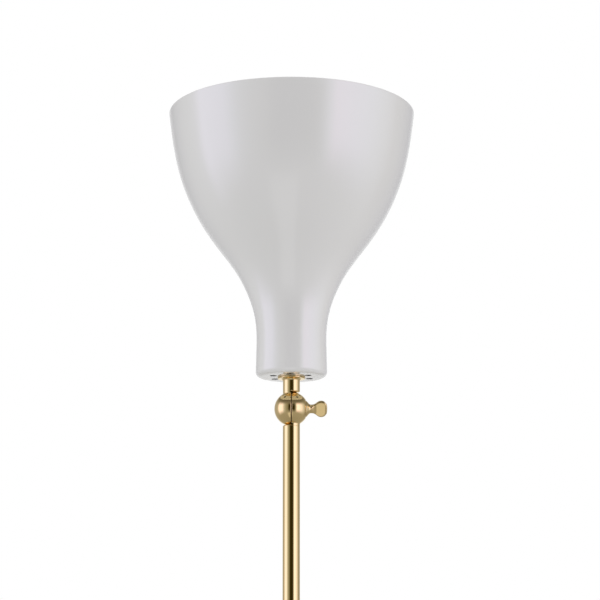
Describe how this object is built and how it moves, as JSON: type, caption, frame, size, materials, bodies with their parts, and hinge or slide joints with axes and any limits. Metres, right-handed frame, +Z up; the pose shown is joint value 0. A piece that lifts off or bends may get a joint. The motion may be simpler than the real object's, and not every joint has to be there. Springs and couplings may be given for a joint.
{
  "type": "adjustable arm floor lamp",
  "caption": "Floor lamp with a weighted round base, brass tube stem and arm on split-ball swivels with thumb screws, and an upward trumpet shade.",
  "frame": {"origin": "centre of the base's underside, on the floor", "axes": "+Z up along the stem; the thumb screws point along +X and both swivels turn about X; the cord inlet faces +Y, the rear"},
  "size_m": [0.26, 0.2619, 1.5144],
  "materials": {
    "polished_brass": "polished",
    "plain_brass": "satin",
    "shade_enamel": "gloss",
    "cast_weight": "matte",
    "felt": "matte",
    "zinc_steel": "satin",
    "friction_fibre": "matte",
    "black_plastic": "satin",
    "white_plastic": "satin",
    "socket_porcelain": "gloss",
    "bare_aluminium": "satin",
    "lead_live_brown": "satin",
    "lead_neutral_blue": "satin",
    "cap_glass": "gloss",
    "frosted_glass": "satin",
    "clear_glass": "gloss",
    "filament": "matte"
  },
  "bodies": {
    "stand": {"base_felt_pad": "felt", "base_weight": "cast_weight", "base_cover": "polished_brass", "cord_inlet_bush": "black_plastic", "base_lock_washer": "zinc_steel", "base_nut": "zinc_steel", "base_nipple": "zinc_steel", "stem_collar": "polished_brass", "terminal_block": "white_plastic", "terminal_screws": "plain_brass", "lower_stem_tube": "polished_brass", "stem_lead_live": "lead_live_brown", "stem_lead_neutral": "lead_neutral_blue", "elbow_lower_knuckle": "polished_brass", "elbow_friction_washer": "friction_fibre"},
    "elbow_washer_slide": {"elbow_screw_washer": "polished_brass"},
    "elbow_screw": {"elbow_thumb_screw": "polished_brass"},
    "arm": {"elbow_upper_knuckle": "polished_brass", "arm_tube": "polished_brass", "arm_lead_live": "lead_live_brown", "arm_lead_neutral": "lead_neutral_blue", "head_lower_knuckle": "polished_brass", "head_friction_washer": "friction_fibre"},
    "head_washer_slide": {"head_screw_washer": "polished_brass"},
    "head_screw": {"head_thumb_screw": "polished_brass"},
    "head": {"head_upper_knuckle": "polished_brass", "shade_seat_ring": "polished_brass", "shade": "shade_enamel", "shade_nipple": "zinc_steel", "shade_lock_washer": "zinc_steel", "shade_nut": "zinc_steel", "socket_cap": "black_plastic", "socket_body": "black_plastic", "socket_insulator": "socket_porcelain", "socket_screw_shell": "bare_aluminium", "socket_contact": "plain_brass", "socket_terminal_screws": "plain_brass", "head_lead_live": "lead_live_brown", "head_lead_neutral": "lead_neutral_blue", "bulb_cap": "bare_aluminium", "bulb_insulator": "cap_glass", "bulb_contact": "plain_brass", "bulb_glass": "frosted_glass", "bulb_mount": "clear_glass", "bulb_filament": "filament"}
  },
  "joints": [
    {"name": "arm_tilt", "type": "hinge", "parent": "stand", "child": "arm", "pos_m": [0, 0, 0.83], "axis": [1, 0, 0], "range_deg": [-115, 115]},
    {"name": "head_tilt", "type": "hinge", "parent": "arm", "child": "head", "pos_m": [0, 0, 1.2872], "axis": [1, 0, 0], "range_deg": [-115, 115]},
    {"name": "elbow_screw_advance", "type": "slide", "parent": "stand", "child": "elbow_washer_slide", "axis": [1, 0, 0], "range_m": [0, 0.0012]},
    {"name": "elbow_screw_turn", "type": "hinge", "parent": "elbow_washer_slide", "child": "elbow_screw", "pos_m": [0.018, 0, 0.83], "axis": [1, 0, 0], "range_deg": [0, 540]},
    {"name": "head_screw_advance", "type": "slide", "parent": "arm", "child": "head_washer_slide", "axis": [1, 0, 0], "range_m": [0, 0.0012]},
    {"name": "head_screw_turn", "type": "hinge", "parent": "head_washer_slide", "child": "head_screw", "pos_m": [0.018, 0, 1.2872], "axis": [1, 0, 0], "range_deg": [0, 540]}
  ],
  "couplings": [
    {"joint": "elbow_screw_turn", "follows": "elbow_screw_advance", "rad_per_m": 7854},
    {"joint": "head_screw_turn", "follows": "head_screw_advance", "rad_per_m": 7854}
  ]
}
